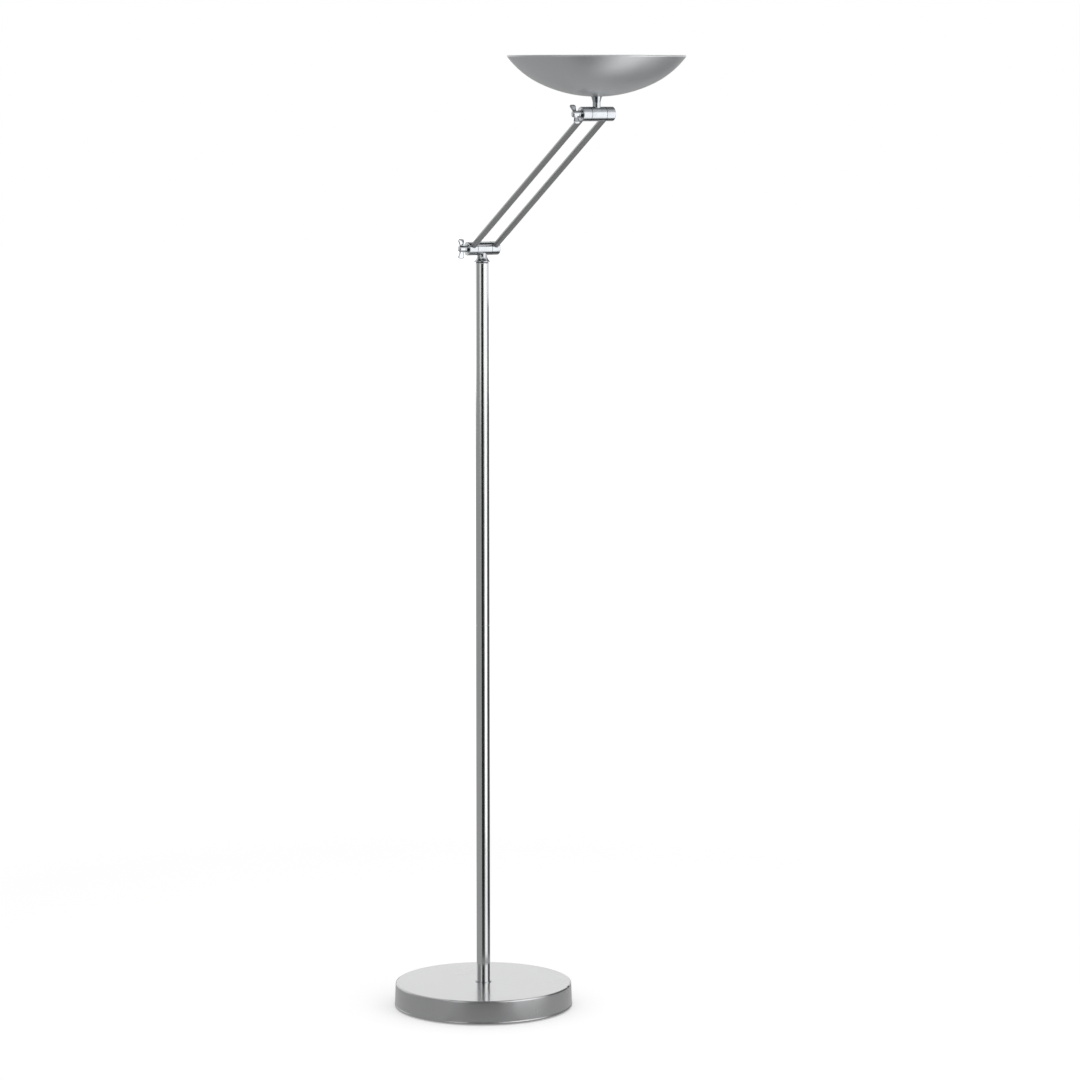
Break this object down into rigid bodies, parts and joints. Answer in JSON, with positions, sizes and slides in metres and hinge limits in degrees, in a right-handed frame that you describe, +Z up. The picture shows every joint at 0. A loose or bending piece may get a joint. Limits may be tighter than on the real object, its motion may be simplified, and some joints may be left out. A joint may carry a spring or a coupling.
{
  "type": "torchiere floor lamp",
  "caption": "Torchiere floor lamp: round weighted base, straight pole, twin-rod arm on two clamped hinges and a shallow uplight bowl that tilts for reading.",
  "frame": {"origin": "on the floor, at the middle of the base's felt pad, on the pole's axis", "axes": "+Z up along the pole, X along both hinge axes with the wing screws at the -X ends, -Y the way the arm leans at rest"},
  "size_m": [0.33, 0.7284, 1.75],
  "materials": {
    "base_lacquer": "semi-gloss mid-grey lacquer",
    "pole_lacquer": "glossy metallic grey lacquer",
    "rod_lacquer": "satin grey lacquer",
    "bowl_lacquer": "satin metallic grey lacquer",
    "nickel": "polished nickel plate",
    "clamp_chrome": "polished chrome plate",
    "weight_iron": "as cast",
    "zinc_steel": "bright zinc plate",
    "glass_clip_steel": "bright spring steel",
    "stud_brass": "turned",
    "pad_felt": "pressed felt",
    "grommet_rubber": "matt",
    "block_plastic": "moulded",
    "lead_sheath": "extruded",
    "bearing_nylon": "turned",
    "friction_fibre": "pressed fibre",
    "reflector_aluminium": "satin anodised",
    "holder_ceramic": "unglazed steatite",
    "lamp_quartz": "clear",
    "filament_tungsten": "drawn wire",
    "cover_glass": "clear toughened"
  },
  "bodies": {
    "stand": {"base_cover": "base_lacquer", "cord_grommet": "grommet_rubber", "base_weight": "weight_iron", "base_bottom_plate": "zinc_steel", "base_plate_screws": "zinc_steel", "base_felt_pad": "pad_felt", "terminal_block": "block_plastic", "pole_lead": "lead_sheath", "pole_root_stud": "stud_brass", "pole_root_nut": "zinc_steel", "pole_root_washer": "zinc_steel", "pole_foot_collar": "nickel", "pole_foot_bush": "zinc_steel", "lower_tube": "pole_lacquer", "seam_lower_bush": "zinc_steel", "seam_stud": "stud_brass", "seam_upper_bush": "zinc_steel", "upper_tube": "pole_lacquer", "pole_top_bush": "zinc_steel", "swivel_thrust_ring": "bearing_nylon"},
    "swivel": {"lower_neck": "nickel", "swivel_nipple": "stud_brass", "swivel_stop_washer": "zinc_steel", "swivel_disc_spring": "zinc_steel", "swivel_nut": "zinc_steel"},
    "arm": {"lower_knuckle_left": "nickel", "lower_knuckle_right": "nickel", "lower_friction_washers": "friction_fibre", "arm_rod_left": "rod_lacquer", "arm_rod_right": "rod_lacquer", "upper_knuckle_left": "nickel", "upper_knuckle_right": "nickel", "upper_friction_washers": "friction_fibre"},
    "lower_clamp": {"lower_clamp_washer": "clamp_chrome"},
    "lower_wing": {"lower_wing_screw": "clamp_chrome"},
    "upper_clamp": {"upper_clamp_washer": "clamp_chrome"},
    "upper_wing": {"upper_wing_screw": "clamp_chrome"},
    "head": {"head_neck": "nickel", "bowl": "bowl_lacquer", "head_nipple": "stud_brass", "head_washer": "zinc_steel", "head_nut": "zinc_steel", "lamp_bracket": "zinc_steel", "bracket_nut": "zinc_steel", "reflector": "reflector_aluminium", "glass_supports": "glass_clip_steel", "lamp_holder_left": "holder_ceramic", "lamp_holder_right": "holder_ceramic", "holder_screws": "zinc_steel", "lamp_envelope": "lamp_quartz", "lamp_end_caps": "holder_ceramic", "lamp_filament": "filament_tungsten", "cover_glass": "cover_glass"}
  },
  "joints": [
    {"name": "pole_swivel", "type": "hinge", "parent": "stand", "child": "swivel", "pos_m": [0, 0, 1.378], "axis": [0, 0, 1], "range_deg": [-170, 170]},
    {"name": "arm_tilt", "type": "hinge", "parent": "swivel", "child": "arm", "pos_m": [0, 0, 1.403], "axis": [1, 0, 0], "range_deg": [-110, 60]},
    {"name": "head_tilt", "type": "hinge", "parent": "arm", "child": "head", "pos_m": [0, -0.40715, 1.64958], "axis": [1, 0, 0], "range_deg": [-50, 120]},
    {"name": "lower_clamp_travel", "type": "slide", "parent": "arm", "child": "lower_clamp", "axis": [-1, 0, 0], "range_m": [0, 0.0015]},
    {"name": "lower_wing_turn", "type": "hinge", "parent": "lower_clamp", "child": "lower_wing", "pos_m": [0, 0, 1.403], "axis": [-1, 0, 0], "range_deg": [0, 360]},
    {"name": "upper_clamp_travel", "type": "slide", "parent": "arm", "child": "upper_clamp", "axis": [-1, 0, 0], "range_m": [0, 0.0015]},
    {"name": "upper_wing_turn", "type": "hinge", "parent": "upper_clamp", "child": "upper_wing", "pos_m": [0, -0.40715, 1.64958], "axis": [-1, 0, 0], "range_deg": [0, 360]}
  ],
  "couplings": [
    {"joint": "lower_clamp_travel", "follows": "lower_wing_turn", "m_per_rad": 0.00019894},
    {"joint": "upper_clamp_travel", "follows": "upper_wing_turn", "m_per_rad": 0.00019894}
  ]
}
